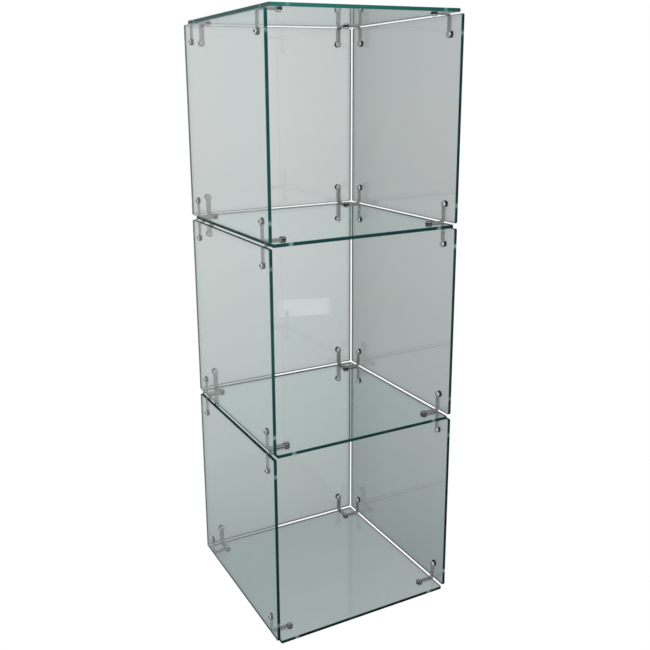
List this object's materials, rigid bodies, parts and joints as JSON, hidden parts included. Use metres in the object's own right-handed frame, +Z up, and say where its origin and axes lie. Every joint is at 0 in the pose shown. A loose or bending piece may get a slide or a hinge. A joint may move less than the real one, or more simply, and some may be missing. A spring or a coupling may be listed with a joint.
{
  "type": "glass display cabinet",
  "caption": "Tall open-front display tower of stacked clear glass cubes, whose drilled square sheets are held edge to edge by bent corner clips, screws and nuts.",
  "frame": {"origin": "centre of the base sheet's underside, which stands on the floor", "axes": "+Z up; the open front faces -Y, the back walls are at +Y, and left and right as seen from the front are -X and +X"},
  "size_m": [0.37, 0.36, 1.088],
  "materials": {
    "clear_glass": "clear tempered glass with ground edges that look dark green",
    "satin_nickel": "satin nickel-plated strip",
    "polished_nickel": "bright nickel plate"
  },
  "bodies": {
    "root": {"base_panel": "clear_glass", "lower_shelf": "clear_glass", "upper_shelf": "clear_glass", "top_panel": "clear_glass", "lower_left_panel": "clear_glass", "lower_back_panel": "clear_glass", "lower_right_panel": "clear_glass", "middle_left_panel": "clear_glass", "middle_back_panel": "clear_glass", "middle_right_panel": "clear_glass", "upper_left_panel": "clear_glass", "upper_back_panel": "clear_glass", "upper_right_panel": "clear_glass", "lower_bottom_front_left_clip": "satin_nickel", "lower_bottom_front_right_clip": "satin_nickel", "lower_top_front_left_clip": "satin_nickel", "lower_top_front_right_clip": "satin_nickel", "middle_bottom_front_left_clip": "satin_nickel", "middle_bottom_front_right_clip": "satin_nickel", "middle_top_front_left_clip": "satin_nickel", "middle_top_front_right_clip": "satin_nickel", "upper_bottom_front_left_clip": "satin_nickel", "upper_bottom_front_right_clip": "satin_nickel", "upper_top_front_left_clip": "satin_nickel", "upper_top_front_right_clip": "satin_nickel", "lower_bottom_back_left_clip": "satin_nickel", "lower_bottom_back_right_clip": "satin_nickel", "lower_top_back_left_clip": "satin_nickel", "lower_top_back_right_clip": "satin_nickel", "middle_bottom_back_left_clip": "satin_nickel", "middle_bottom_back_right_clip": "satin_nickel", "middle_top_back_left_clip": "satin_nickel", "middle_top_back_right_clip": "satin_nickel", "upper_bottom_back_left_clip": "satin_nickel", "upper_bottom_back_right_clip": "satin_nickel", "upper_top_back_left_clip": "satin_nickel", "upper_top_back_right_clip": "satin_nickel", "lower_wall_screws": "polished_nickel", "middle_wall_screws": "polished_nickel", "upper_wall_screws": "polished_nickel", "base_screws": "polished_nickel", "lower_shelf_screws": "polished_nickel", "upper_shelf_screws": "polished_nickel", "top_screws": "polished_nickel", "lower_wall_nuts": "polished_nickel", "middle_wall_nuts": "polished_nickel", "upper_wall_nuts": "polished_nickel", "base_nuts": "polished_nickel", "lower_shelf_nuts": "polished_nickel", "upper_shelf_nuts": "polished_nickel", "top_nuts": "polished_nickel"}
  },
  "joints": []
}
